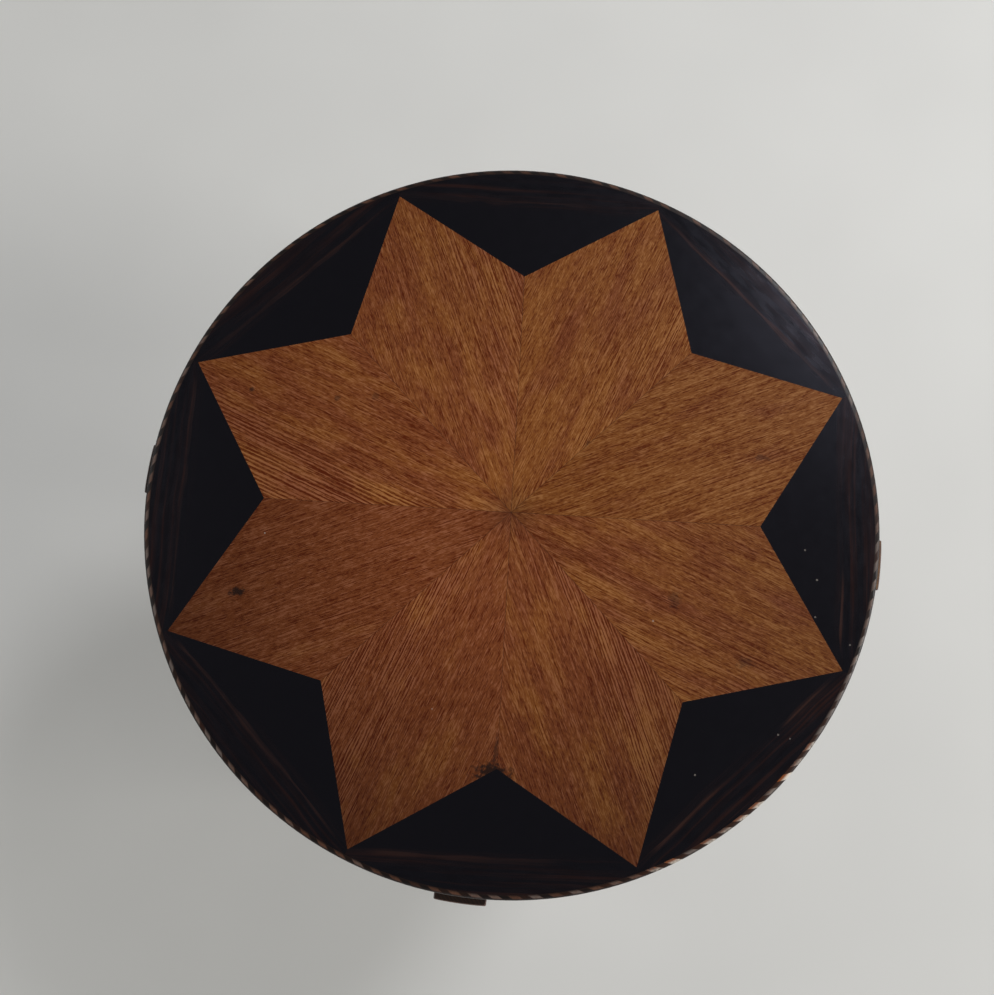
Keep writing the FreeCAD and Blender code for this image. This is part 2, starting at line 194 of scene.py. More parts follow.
def quads(number):
    """Four-sided faces between neighbours of a grid of point numbers."""
    corners = (number[:, :-1, :-1], number[:, :-1, 1:], number[:, 1:, 1:], number[:, 1:, :-1])
    return np.stack(corners, axis=-1).reshape(-1, 4)


def sweep(name, rings, finishes, looped=False, tones=None):
    """Skin through rings of points, for each copy of a piece: rings[copy, station, point, xyz].

    Neighbouring points of neighbouring rings make a face. The first and the last ring are closed by a flat
    face each, or joined to one another where the piece is looped. The map runs in metres, first from
    station to station and then round the ring, and a flat end has the second finish.
    """
    copies, stations, count = rings.shape[:3]
    number = np.arange(copies * stations * count).reshape(copies, stations, count)
    around = np.concatenate([number, number[:, :, :1]], axis=2)
    wrapped = np.concatenate([rings, rings[:, :, :1]], axis=2)
    if looped:
        around = np.concatenate([around, around[:, :1]], axis=1)
        wrapped = np.concatenate([wrapped, wrapped[:, :1]], axis=1)
    run = np.linalg.norm(np.diff(wrapped, axis=1), axis=3).max(axis=2)
    girth = np.linalg.norm(np.diff(wrapped, axis=2), axis=3).max(axis=1)
    run = np.pad(run.cumsum(axis=1), ((0, 0), (1, 0)))
    girth = np.pad(girth.cumsum(axis=1), ((0, 0), (1, 0)))
    chart = np.stack(np.broadcast_arrays(run[:, :, None], girth[:, None, :]), axis=-1)
    chart_number = np.arange(chart[..., 0].size).reshape(chart.shape[:3])

    faces = quads(around).tolist()
    charted = [chart.reshape(-1, 2)[quads(chart_number)].reshape(-1, 2)]
    sides = len(faces)
    if not looped:
        faces += number[:, 0, ::-1].tolist() + number[:, -1].tolist()
        charted += [chart[:, 0, count - 1::-1].reshape(-1, 2), chart[:, -1, :count].reshape(-1, 2)]
    mesh = bpy.data.meshes.new(name)
    mesh.from_pydata(rings.reshape(-1, 3), [], faces)
    mesh.uv_layers.new(name="grain").uv.foreach_set("vector", np.concatenate(charted).ravel())
    for finish in finishes:
        mesh.materials.append(finish)
    ends = np.zeros(len(faces), np.int32)
    ends[sides:] = len(finishes) - 1
    mesh.polygons.foreach_set("material_index", ends)
    if tones is not None:
        spread = np.repeat(tones, stations * count).astype(np.float32)
        mesh.attributes.new("tone", "FLOAT", "POINT").data.foreach_set("value", spread)
    mesh.shade_smooth()
    mesh.set_sharp_from_angle(angle=sharp_edge)
    piece = bpy.data.objects.new(name, mesh)
    bpy.context.scene.collection.objects.link(piece)
    return piece


def stand_for(piece, slot, *nodes):
    """The piece rides on the table and stands for those CAD nodes, which are hidden. Slot is not used."""
    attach(piece, "root")
    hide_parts(*nodes)


def lipping_finish():
    """Dark wood with long brown streaks along the piece's own map, under a thin polish."""
    material, tree, shader = new_finish(
        "lipping_dark_wood", Roughness=0.30, Specular_IOR_Level=0.4, Coat_Weight=0.25, Coat_Roughness=0.12
    )
    chart = add(tree, "UVMap", {}, uv_map="grain").outputs[0]
    broad = clouds(tree, chart, lipping_broad_grain, 2.0, 3.0)
    fine = clouds(tree, chart, lipping_fine_grain, 7.0)
    share = reckon(tree, "MULTIPLY", rise(tree, broad, 0.42, 0.72), rise(tree, fine, 0.3, 0.7))
    colour = mingle(tree, share, shade(*lipping_dark), shade(*lipping_streak))
    tree.links.new(colour, shader.inputs["Base Color"])
    bump(tree, shader, fine, lipping_relief)
    return material


face_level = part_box("star_lozenge_1")[1].z
core_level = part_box("star_lozenge_1")[0].z
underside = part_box("edge_lipping")[0].z
rebate_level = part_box("banding_light")[0].z
core_edge = radii_of("top_core")[1]
field_edge = radii_of("ebony_field_1")[1]
rim = radii_of("edge_lipping")[1]


def round_axis(radius, angle, level):
    """Points at those distances from the upright axis, at those angles about it and at those levels."""
    across, ahead = radius * np.cos(angle), radius * np.sin(angle)
    return np.stack(np.broadcast_arrays(across, ahead, level), axis=-1)


def turned(section, stations):
    """Section of (radius, level) points carried once round the upright axis.

    The points run clockwise round the section, so that faces point outwards.
    """
    angle = np.linspace(0, 2 * math.pi, stations, endpoint=False)[:, None]
    return round_axis(section[:, 0], angle, section[:, 1])[None]


lipping_section = eased(
    [(core_edge, underside), (core_edge, core_level), (field_edge, core_level), (field_edge, rebate_level),
     (rim, rebate_level), (rim, underside)],
    [0, 0, 0, 0, 0, lipping_easing],
)
lipping_rings = turned(lipping_section, lipping_stations)
lipping = sweep("lipping_ring", lipping_rings, [lipping_finish()], looped=True)
stand_for(lipping, "lipping_wood", "edge_lipping")


# The back veneer is a plain brown sheet glued under the core, so that the board stays flat.
# It is stained thinly and has no polish.
back_dark = (62, 40, 27)
back_brown = (104, 70, 46)
back_streak = (0.0025, 0.15, 1)
back_slow = (0.05, 0.30, 1)
back_relief = 0.00005


def back_finish():
    """Plain straight-grained veneer: soft streaks from front to back over a slow change of tone."""
    material, tree, shader = new_finish("back_veneer_stain", Roughness=0.65, Specular_IOR_Level=0.3)
    place = own_place(tree)
    streak = clouds(tree, place, back_streak, 8.0, 3.0)
    slow = clouds(tree, place, back_slow, 9.0)
    share = reckon(tree, "MULTIPLY_ADD", slow, 0.5, reckon(tree, "MULTIPLY", streak, 0.7))
    colour = mingle(tree, rise(tree, share, 0.35, 0.85), shade(*back_dark), shade(*back_brown))
    tree.links.new(colour, shader.inputs["Base Color"])
    bump(tree, shader, streak, back_relief)
    return material


dress("back_veneer", back_finish())


# The star is eight kites of sawn brown veneer, open in the pores, glued edge to edge from the middle out.
# Each was cut with its grain along its own length, so every kite has its own figure and tone.
star_red = (108, 56, 26)
star_gold = (119, 68, 26)
# How much a light line lifts and a dark line lowers the red, green and blue of the wood about it.
star_lift = (1.57, 2.05, 3.5)
star_drop = (0.52, 0.25, 0.0)
star_seam = (44, 24, 15)
knot_brown = (30, 17, 13)
dust_pale = (170, 160, 150)
seam_width = 0.0004
star_relief = 0.00015
# Sizes of the clouds in the veneer, along the grain and across it. A bend also has its seed and its push, and
# short grain its seed and its weight in the figure.
star_bends = (((0.020, 0.010, 1), 0.5, 0.0013), ((0.12, 0.045, 1), 0.0, 0.005))
star_slow = (0.060, 0.020, 1)
star_thread = (0.060, 0.0008, 1)
star_break = (0.0100, 0.0025, 1)
star_short = (((0.0095, 0.0008, 1), 6, 1.3), ((0.0036, 0.0009, 1), 7, 1.3), ((0.0080, 0.0035, 1), 8, 0.8))
rib_patch = (0.14, 0.028, 1)
# Ribs wander with clouds, in radians, and come in between these distances from the middle line of the kite.
rib_wander, rib_swing = (0.20, 0.012, 1), 9.0
rib_from, rib_full = -0.010, 0.045
# Weights in the figure: of a rib, of a thread on a rib, of a thread elsewhere where it is broken and how much
# more where it is whole, and of the slow clouds. At full figure the wood is at its lightest or darkest.
rib_weight, rib_thread_weight = 0.36, 1.8
thread_least, thread_whole = 0.3, 2.0
slow_weight = 0.4
figure_full = 0.47
# For each kite: brightness near the middle and at the tip, which is partly the wood's tone and partly painted
# shade, darkest at the tips of kites 5 to 7 at the front; share of gold, the edge with ribbed grain (1 for
# anticlockwise, -1 for clockwise), how strongly it is ribbed, and the step from rib to rib.
kites = {
    1: (0.93, 0.90, 0.66, -1, 0.25, 0.0029), 2: (1.05, 0.97, 0.60, -1, 0.35, 0.0030),
    3: (1.12, 0.87, 0.48, -1, 0.50, 0.0028), 4: (1.12, 0.85, 0.44, 1, 1.00, 0.0031),
    5: (1.06, 0.45, 0.20, 1, 0.15, 0.0029), 6: (1.14, 0.42, 0.34, -1, 1.10, 0.0023),
    7: (1.08, 0.52, 0.42, 1, 1.00, 0.0023), 8: (1.00, 0.73, 0.52, -1, 0.35, 0.0030),
}
kite_length = radii_of("star_lozenge_1")[1]
tone_start = 0.3 * kite_length
middle_grime = 0.030
# Old marks in the star: kites, place, half length along X and along Y, darkness.
marks = (
    ((5,), (-0.2103, -0.0935), (0.0068, 0.0042), 0.95),
    ((4,), (-0.2276, 0.0733), (0.0024, 0.0028), 0.70),
    ((4,), (-0.1563, 0.0759), (0.0032, 0.0026), 0.50),
    ((4,), (-0.1244, 0.0819), (0.0030, 0.0040), 0.35),
    ((8,), (0.1395, -0.0530), (0.0050, 0.0070), 0.40),
    ((8,), (0.1996, -0.0951), (0.0070, 0.0045), 0.40),
    ((1,), (0.1984, 0.0720), (0.0070, 0.0030), 0.40),
    ((2,), (0.0579, 0.0634), (0.0060, 0.0050), 0.45),
    ((6, 7), (0.0125, -0.2060), (0.0150, 0.0075), 0.95),
    ((6, 7), (0.0125, -0.1900), (0.0020, 0.0150), 0.55),
)
# Specks of pale dust: the kite and the place.
specks = ((6, (-0.0415, -0.1635)), (8, (0.1238, -0.0720)), (5, (-0.1962, -0.0434)))
speck_size = 0.0008
ragged_size = (0.0028, 0.0028, 1)
ragged_edge = 2.4


def swing(tree, place, size, seed, detail=2.0):
    """Clouds that go from -0.5 to 0.5."""
    return reckon(tree, "SUBTRACT", clouds(tree, place, size, seed, detail), 0.5)


def reckon_each(tree, operation, first, second):
    """One sum on the three parts of two places or colours."""
    return add(tree, "VectorMath", {0: first, 1: second}, operation=operation).outputs[0]


def reach_of(tree, place):
    """Distance of a place from the upright line through the middle of its coordinates."""
    flat = reckon_each(tree, "MULTIPLY", place, (1, 1, 0))
    return add(tree, "VectorMath", {0: flat}, operation="LENGTH").outputs["Value"]


def spot(tree, place, centre, half, seed):
    """1 inside a ragged oval about a centre, falling to 0 at its edge."""
    sockets = {"Vector": place, "Location": (*centre, 0), "Scale": (*half, 1)}
    near = add(tree, "Mapping", sockets, vector_type="TEXTURE").outputs[0]
    rough = clouds(tree, place, ragged_size, seed, 3.0)
    ragged = reckon(tree, "MULTIPLY_ADD", rough, ragged_edge, reach_of(tree, near))
    return rise(tree, ragged, ragged_edge, ragged_edge - 0.8)


def dusted(tree, colour, place, centres, strength):
    """Colour with a speck of pale dust at each centre."""
    for centre in centres:
        speck = spot(tree, place, centre, (speck_size, speck_size), 8.0)
        colour = mingle(tree, reckon(tree, "MULTIPLY", speck, strength), colour, shade(*dust_pale))
    return colour


def star_finish(number, turn):
    """Sawn veneer: coordinates turned so that X runs along the kite, bent a little across the grain.

    One number, from dark to light, gathers the figure: long threads that clouds break, short grain, slow
    clouds, and ribs, which are a sine across the grain with a wandering phase, strongest towards one edge.
    The wood goes from red to gold with the slow clouds. The light part of the figure lifts its colour and
    the dark part lowers it, and the whole dims evenly from near the middle to the tip: partly the wood's tone
    and partly painted shade. Grime darkens the middle. Seams are dark lines where the distance to either
    inner edge of the kite falls to nothing.
    """
    near_tone_and_shade, tip_tone_and_shade, gold, rib_edge, rib_strength, rib_step = kites[number]
    seed = 11.0 * number
    material, tree, shader = new_finish(f"star_veneer_{number}", Specular_IOR_Level=0.10)
    place = own_place(tree)
    straight = add(tree, "Mapping", {"Vector": place, "Rotation": (0, 0, -turn)}).outputs[0]
    bend = 0.0
    for size, step, push in star_bends:
        bend = reckon(tree, "MULTIPLY_ADD", swing(tree, straight, size, seed + step), push, bend)
    grain = reckon_each(tree, "ADD", straight, add(tree, "CombineXYZ", {"Y": bend}).outputs[0])
    across = add(tree, "SeparateXYZ", {"Vector": grain}).outputs["Y"]

    slow = swing(tree, grain, star_slow, seed + 1, 3.0)
    hue = rise(tree, reckon(tree, "ADD", slow, gold), 0.3, 0.7)
    colour = mingle(tree, hue, shade(*star_red), shade(*star_gold))

    wander = reckon(tree, "MULTIPLY", clouds(tree, grain, rib_wander, seed + 4), rib_swing)
    phase = reckon(tree, "MULTIPLY_ADD", across, 2 * math.pi / rib_step, wander)
    edgewise = rise(tree, reckon(tree, "MULTIPLY", across, float(rib_edge)), rib_from, rib_full)
    patchy = rise(tree, clouds(tree, grain, rib_patch, seed + 5), 0.22, 0.52)
    ribbed = reckon(tree, "MULTIPLY", reckon(tree, "MULTIPLY", edgewise, patchy), rib_strength)

    thread = swing(tree, grain, star_thread, seed + 3)
    whole = rise(tree, clouds(tree, grain, star_break, seed + 9, 3.0), 0.30, 0.70)
    thread_weight = reckon(tree, "MULTIPLY_ADD", whole, thread_whole, thread_least)
    figure = reckon(tree, "MULTIPLY", reckon(tree, "SINE", phase), rib_weight)
    figure = reckon(tree, "MULTIPLY_ADD", thread, rib_thread_weight, figure)
    figure = reckon(tree, "MULTIPLY", figure, ribbed)
    figure = reckon(tree, "MULTIPLY_ADD", thread, thread_weight, figure)
    for size, step, weight in star_short:
        figure = reckon(tree, "MULTIPLY_ADD", swing(tree, grain, size, seed + step), weight, figure)
    figure = reckon(tree, "MULTIPLY_ADD", slow, slow_weight, figure)
    light = rise(tree, figure, 0.0, figure_full)
    dark = rise(tree, figure, 0.0, -figure_full)
    lifted = reckon_each(tree, "MULTIPLY", colour, star_lift)
    dropped = reckon_each(tree, "MULTIPLY", colour, star_drop)
    colour = mingle(tree, light, mingle(tree, dark, colour, dropped), lifted)

    parts = add(tree, "SeparateXYZ", {"Vector": straight})
    along, aside = parts.outputs["X"], parts.outputs["Y"]
    # Brightness from near the middle to the tip: partly the wood's tone, partly painted shade.
    sockets = {"From Min": tone_start, "From Max": kite_length, "To Min": near_tone_and_shade, "To Max": tip_tone_and_shade}
    tone = add(tree, "MapRange", {"Value": along, **sockets}).outputs[0]
    colour = add(tree, "VectorMath", {0: colour, "Scale": tone}, operation="SCALE").outputs[0]
    grime = rise(tree, along, middle_grime, 0.0)
    colour = mingle(tree, reckon(tree, "MULTIPLY", grime, 0.3), colour, shade(*star_seam))

    angle = math.pi / len(kites)
    inside = reckon(tree, "MULTIPLY", reckon(tree, "ABSOLUTE", aside), math.cos(angle))
    edge = reckon(tree, "SUBTRACT", reckon(tree, "MULTIPLY", along, math.sin(angle)), inside)
    seam = rise(tree, edge, seam_width, 0.0)
    colour = mingle(tree, reckon(tree, "MULTIPLY", seam, 0.6), colour, shade(*star_seam))

    for spoiled, centre, half, darkness in marks:
        if number in spoiled:
            worn = reckon(tree, "MULTIPLY", spot(tree, place, centre, half, 7.0), darkness)
            colour = mingle(tree, worn, colour, shade(*knot_brown))
    colour = dusted(tree, colour, place, [centre for kite, centre in specks if kite == number], 0.7)
    tree.links.new(colour, shader.inputs["Base Color"])
    tree.links.new(reckon(tree, "MULTIPLY_ADD", dark, 0.15, 0.48), shader.inputs["Roughness"])
    bump(tree, shader, reckon(tree, "SUBTRACT", 1.0, dark), star_relief)
    return material


for number in kites:
    corners = points_of(f"star_lozenge_{number}")
    tip = corners[np.hypot(*corners[:, :2].T).argmax()]
    dress(f"star_lozenge_{number}", star_finish(number, math.atan2(tip[1], tip[0])))


# The fields between the tips are near-black streaked veneer, laid with the grain from tip to tip.
# Brown streaks run along that line and outside it, and the face is polished, with a faint blue bloom.
ebony_black = (16, 15, 18)
ebony_brown = (52, 29, 22)
ebony_rose = (60, 39, 32)
polish_bloom = (0.80, 0.80, 1.0, 1.0)
# Sizes of the clouds in the veneer and its polish, across the grain and along it, and the distances past the
# line of the tips between which the streaks come in.
ebony_bend, ebony_push = (0.05, 0.10, 1), 0.008
ebony_broad = (0.0055, 0.20, 1)
ebony_fine = (0.0014, 0.12, 1)
ebony_relief = 0.00002
streaks_from, streaks_full = -0.010, 0.006
polish_dull = (0.010, 0.010, 1)
polish_patch = (0.004, 0.018, 1)
# Half the width of the streak on the line of the tips: its clouds, its least and what they add. It fades in
# and out over these lengths.
streak_swell = (0.02, 0.035, 1)
streak_least, streak_more = 0.0008, 0.00336
streak_fade_in, streak_fade_out = 0.02, 0.03
streak_strength = 0.9
# For each field: how streaky it is outside the line of the tips, how clear the streak on that line is, and
# the stretches of the line that it follows, in metres from the middle of the line.
fields = {
    1: (0.60, 0.7, ((-0.100, -0.025),)), 2: (0.55, 1.0, ((-0.105, 0.105),)),
    3: (0.45, 0.4, ((-0.105, 0.105),)), 4: (0.65, 0.6, ((-0.105, 0.105),)),
    5: (0.50, 0.35, ((-0.105, 0.105),)), 6: (0.45, 0.5, ((-0.105, 0.105),)),
    7: (0.40, 0.4, ((-0.100, 0.062),)), 8: (0.55, 0.9, ((-0.100, -0.008), (0.040, 0.105))),
}
# Specks of pale dust: the field and the place.
field_dust = (
    (1, (0.2395, 0.0010)), (1, (0.2510, -0.0219)), (1, (0.2517, -0.0516)), (1, (0.2811, -0.0700)),
    (8, (0.2303, -0.1470)), (8, (0.2398, -0.1488)), (8, (0.1688, -0.1859)),
)


def field_finish(number, turn, chord):
    """Ebony: coordinates turned so that X runs out from the middle and Y from tip to tip, bent a little in X.

    Clouds that are long in Y and short in X are streaks, split into threads and let in past the chord. One
    more streak follows the chord itself: it is brown where the distance from the chord is within its changing
    width, on the field's stretches of it. The polish is rougher in small clouds, and past the chord its shine
    is patchy.
    """
    streaky, clear, stretches = fields[number]
    seed = 200.0 + 13.0 * number
    material, tree, shader = new_finish(f"ebony_veneer_{number}", Specular_Tint=polish_bloom)
    place = own_place(tree)
    straight = add(tree, "Mapping", {"Vector": place, "Rotation": (0, 0, -turn)}).outputs[0]
    bend = reckon(tree, "MULTIPLY", swing(tree, straight, ebony_bend, seed), ebony_push)
    grain = reckon_each(tree, "ADD", straight, add(tree, "CombineXYZ", {"X": bend}).outputs[0])
    parts = add(tree, "SeparateXYZ", {"Vector": grain})
    out = reckon(tree, "SUBTRACT", parts.outputs["X"], chord)
    along = parts.outputs["Y"]

    broad = clouds(tree, grain, ebony_broad, seed + 1, 3.0)
    fine = clouds(tree, grain, ebony_fine, seed + 2)
    threads = reckon(tree, "MULTIPLY_ADD", rise(tree, fine, 0.40, 0.66), 0.75, 0.25)
    streak = reckon(tree, "MULTIPLY", rise(tree, broad, 0.40, 0.72), threads)
    past = rise(tree, out, streaks_from, streaks_full)
    share = reckon(tree, "MULTIPLY", reckon(tree, "MULTIPLY", streak, past), streaky)
    colour = mingle(tree, share, shade(*ebony_black), shade(*ebony_brown))

    swell = rise(tree, clouds(tree, grain, streak_swell, seed + 3), 0.25, 0.75)
    width = reckon(tree, "MULTIPLY_ADD", swell, streak_more, streak_least)
    line = rise(tree, reckon(tree, "DIVIDE", reckon(tree, "ABSOLUTE", out), width), 1.0, 0.0)
    line = reckon(tree, "MULTIPLY", line, threads)
    shown = 0.0
    for begin, finish in stretches:
        begun = rise(tree, along, begin, begin + streak_fade_in)
        going = rise(tree, along, finish, finish - streak_fade_out)
        shown = reckon(tree, "MAXIMUM", reckon(tree, "MULTIPLY", begun, going), shown)
    line = reckon(tree, "MULTIPLY", reckon(tree, "MULTIPLY", line, shown), streak_strength * clear)
    colour = mingle(tree, line, colour, shade(*ebony_rose))
    colour = dusted(tree, colour, place, [centre for field, centre in field_dust if field == number], 0.35)
    tree.links.new(colour, shader.inputs["Base Color"])

    dull = clouds(tree, place, polish_dull, seed + 4, 4.0)
    tree.links.new(reckon(tree, "MULTIPLY_ADD", dull, 0.08, 0.20), shader.inputs["Roughness"])
    patchy = rise(tree, clouds(tree, grain, polish_patch, seed + 5, 4.0), 0.25, 0.75)
    patchy = reckon(tree, "MULTIPLY", reckon(tree, "SUBTRACT", patchy, 0.5), past)
    tree.links.new(reckon(tree, "MULTIPLY_ADD", patchy, 0.20, 0.24), shader.inputs["Specular IOR Level"])
    bump(tree, shader, fine, ebony_relief)
    return material


for number in fields:
    corners = points_of(f"ebony_field_{number}")
    reach = np.hypot(*corners[:, :2].T)
    notch = corners[reach.argmin()]
    tip_reach = radii_of(f"star_lozenge_{number}")[1]
    chord = tip_reach * math.cos(math.pi / len(fields))
    dress(f"ebony_field_{number}", field_finish(number, math.atan2(notch[1], notch[0]), chord))


# The banding is a row of light and dark blocks, cut on the slant and glued in turn into the rebate.
# It is rounded over and polished with the top. One stretch is pale, partly worn to bare wood and
# partly painted light where the edge faces the light from the right; two are darkened with painted shade
# where it faces away.
banding_pairs = 120
banding_step = 2 * math.pi / banding_pairs
banding_lean = 0.0075
banding_rounding = 0.0028
banding_seed = 5
banding_amber = (86, 57, 43)
banding_pale = (98, 88, 82)
# Pale of the worn stretch: partly bare wood, partly a painted highlight on the rounded edge.
banding_bare_and_glint = (206, 194, 178)
banding_rust = (130, 70, 32)
# Dark of old polish, and of painted shade on the outer edge and in the shaded stretches.
banding_shade = (30, 20, 17)
banding_black = (20, 16, 15)
banding_umber = (50, 29, 20)
banding_russet = (40, 24, 17)
banding_streak = (0.0016, 0.0016, 0.004)
banding_spread = 0.55
# Stretches of the edge: the angle of the middle, half the spread, and how pale it is, or below 0 how dark.
# The pale one is partly worn wood and partly painted light; the dark ones are painted shade where the edge
# faces away from the light.
banding_wear_light_shade_stretches = ((-40, 22, 0.54), (98, 78, -0.42), (258, 34, -0.30))
# Bare wood is rusty up to the first share of the width, from the inner edge, and pale from the second on;
# that pale outer part is partly a painted highlight on the rounding.
bare_shares = (0.20, 0.72)
# The wood is dark on these shares of the width: along the inner edge with old polish, and along the outer
# edge from the first share to the second, partly with old polish and partly with painted shade on the
# rounding.
grime_inner = 0.40
outer_grime_and_shade_shares = (0.50, 0.20)
# The pale of the worn stretch, with its painted light, and the dark outer edge, with its painted shade, thin
# out between these depths below the face, to these shares of them.
side_depths = (0.0008, 0.0020)
wear_and_light_on_side, side_grime_and_shade = 0.5, 0.25


def slanted_blocks(row):
    """Blocks round the rim: a section of (radius, level), rounded at the outer upper edge, at two stations.

    Row is the angle of each block's middle, and a block takes half a step. A station's angle also has a lean
    that goes evenly from its most at the inner edge to nothing at the rim.
    """
    section = eased(
        [(field_edge, rebate_level), (field_edge, face_level), (rim, face_level), (rim, rebate_level)],
        [0, 0, banding_rounding, 0], steps=5,
    )
    radius, level = section.T
    ends = np.array([-0.25, 0.25]) * banding_step
    lean = math.asin(banding_lean / rim) * (radius - rim) / (rim - field_edge)
    return round_axis(radius, row[:, None, None] + ends[None, :, None] + lean, level)


def banding_finish(name, polished, other, rusty, bare):
    """Wood whose tone changes from block to block, dark along both edges of the upper side: old polish along
    the inner edge, and old polish with painted shade along the outer, rounded edge.

    The tone goes from the polished colour to the other one at 0.5, and on to bare wood at 1, where the dark
    edges are gone too. Bare wood goes from the rusty colour at the inner edge to the bare one, whose pale
    part is partly a painted highlight. Below 0 the tone is painted shade. The pale wear and the dark outer
    edge thin out down the side.
    """
    material, tree, shader = new_finish(name, Roughness=0.34, Specular_IOR_Level=0.25)
    tone = add(tree, "Attribute", {}, attribute_name="tone").outputs["Fac"]
    place = own_place(tree)
    reach = reach_of(tree, place)
    height = add(tree, "SeparateXYZ", {"Vector": place}).outputs["Z"]
    upper = rise(tree, height, face_level - side_depths[1], face_level - side_depths[0])
    width = rim - field_edge
    share = reckon(tree, "MULTIPLY_ADD", swing(tree, place, banding_streak, 4.0), 0.5, tone)
    colour = mingle(tree, rise(tree, share, 0.0, 0.5), shade(*polished), shade(*other))
    # The bare colour is pale towards the rim: partly worn wood, partly a painted highlight on the rounding.
    rust_end, pale_start = field_edge + width * np.array(bare_shares)
    worn = mingle(tree, rise(tree, reach, rust_end, pale_start), shade(*rusty), shade(*bare))
    shown = reckon(tree, "MULTIPLY_ADD", upper, 1 - wear_and_light_on_side, wear_and_light_on_side)
    shown = reckon(tree, "MULTIPLY", rise(tree, share, 0.5, 1.0), shown)
    colour = mingle(tree, shown, colour, worn)
    # Painted shade: blocks whose tone is below 0.1, mostly in the stretches where the edge faces away from
    # the light.
    painted_shade = reckon(tree, "MULTIPLY", rise(tree, share, 0.10, -0.40), 0.85)
    colour = mingle(tree, painted_shade, colour, shade(*banding_shade))

    # Dark along the outer edge: partly old polish, partly painted shade on the rounding.
    begin, full = rim - width * np.array(outer_grime_and_shade_shares)
    inward = rise(tree, reach, field_edge + grime_inner * width, field_edge)
    outward = rise(tree, reach, begin, full)
    thinned = reckon(tree, "MULTIPLY_ADD", upper, 1 - side_grime_and_shade, side_grime_and_shade)
    outward = reckon(tree, "MULTIPLY", outward, thinned)
    kept = reckon(tree, "MULTIPLY", rise(tree, share, 1.0, 0.5), 0.9)
    edge_grime_and_shade = reckon(tree, "MULTIPLY", reckon(tree, "MAXIMUM", inward, outward), kept)
    tree.links.new(mingle(tree, edge_grime_and_shade, colour, shade(*banding_shade)), shader.inputs["Base Color"])
    return material


banding_draw = np.random.default_rng(banding_seed)
banding_woods = (
    ("light", 0.0,
     banding_finish("banding_light_polish", banding_amber, banding_pale, banding_rust, banding_bare_and_glint)),
    ("dark", banding_step / 2,
     banding_finish("banding_dark_polish", banding_black, banding_umber, banding_umber, banding_russet)),
)
for wood, first_angle, finish in banding_woods:
    row = first_angle + banding_step * np.arange(banding_pairs)
    tones = banding_spread * banding_draw.random(banding_pairs)
    # A stretch with a share above 0 is painted pale, partly as wear and partly as painted light; one below 0
    # is painted shade.
    for middle, half, wear in banding_wear_light_shade_stretches:
        away = np.angle(np.exp(1j * (row - math.radians(middle)))) / math.radians(half)
        tones += wear * np.exp(-away ** 4)
    blocks = sweep(f"banding_{wood}_blocks", slanted_blocks(row), [finish], tones=tones)
    stand_for(blocks, f"banding_{wood}_wood", f"banding_{wood}")


# The legs are solid dark wood, bowed on the outer face and tapered on both sides to the foot.
# They are planed, eased along the edges, stained and polished. The ends show end grain, which on the right
# leg is painted lighter in red and tan patches: painted light where light from the right falls on it.
frame_dark = (50, 28, 19)
frame_brown = (92, 54, 35)
frame_pore = (26, 14, 10)
end_dark = (28, 16, 11)
end_brown = (48, 29, 18)
end_red = (70, 34, 22)
end_tan = (112, 80, 48)
# How much lighter the right leg's ends are painted: painted light from the right.
end_lit_share = 0.45
# Sizes of the clouds in the wood, along the grain and across it.
frame_bend, frame_push = (0.18, 0.03, 1), 0.020
frame_slow = (0.30, 0.018, 1)
frame_streak = (0.09, 0.0022, 1)
frame_pores = (0.012, 0.0009, 1)
frame_relief = 0.00008
# End grain: the step from ring to ring, how far its clouds bend a ring, in radians, and sizes of clouds.
ring_step, ring_bend = 0.0034907, 14.0
end_bend, end_patch, end_speckle = 0.02, 0.014, 0.0008
leg_seed, seed_step = 300.0, 17
leg_easing = 0.0016
leg_end_easing = 0.0010
leg_bow_steps = 8
leg_taper_drop = 0.016
leg_taper_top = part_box("apron_1")[0].z - leg_taper_drop


def frame_finish(name, seed):
    """Stained wood: streaks and short pores along the piece's own map, over a slow change of tone."""
    material, tree, shader = new_finish(name, Specular_IOR_Level=0.4, Coat_Weight=0.2, Coat_Roughness=0.15)
    chart = add(tree, "UVMap", {}, uv_map="grain").outputs[0]
    bend = reckon(tree, "MULTIPLY", clouds(tree, chart, frame_bend, seed), frame_push)
    grain = reckon_each(tree, "ADD", chart, add(tree, "CombineXYZ", {"Y": bend}).outputs[0])
    slow = clouds(tree, grain, frame_slow, seed + 1, 3.0)
    streak = clouds(tree, grain, frame_streak, seed + 2, 3.0)
    pores = rise(tree, clouds(tree, grain, frame_pores, seed + 3), 0.56, 0.70)
    share = reckon(tree, "MULTIPLY_ADD", slow, 0.8, reckon(tree, "MULTIPLY", streak, 0.6))
    colour = mingle(tree, rise(tree, share, 0.45, 0.95), shade(*frame_dark), shade(*frame_brown))
    colour = mingle(tree, reckon(tree, "MULTIPLY", pores, 0.6), colour, shade(*frame_pore))
    tree.links.new(colour, shader.inputs["Base Color"])
    tree.links.new(reckon(tree, "MULTIPLY_ADD", pores, 0.2, 0.36), shader.inputs["Roughness"])
    bump(tree, shader, reckon(tree, "SUBTRACT", 1.0, pores), frame_relief)
    return material


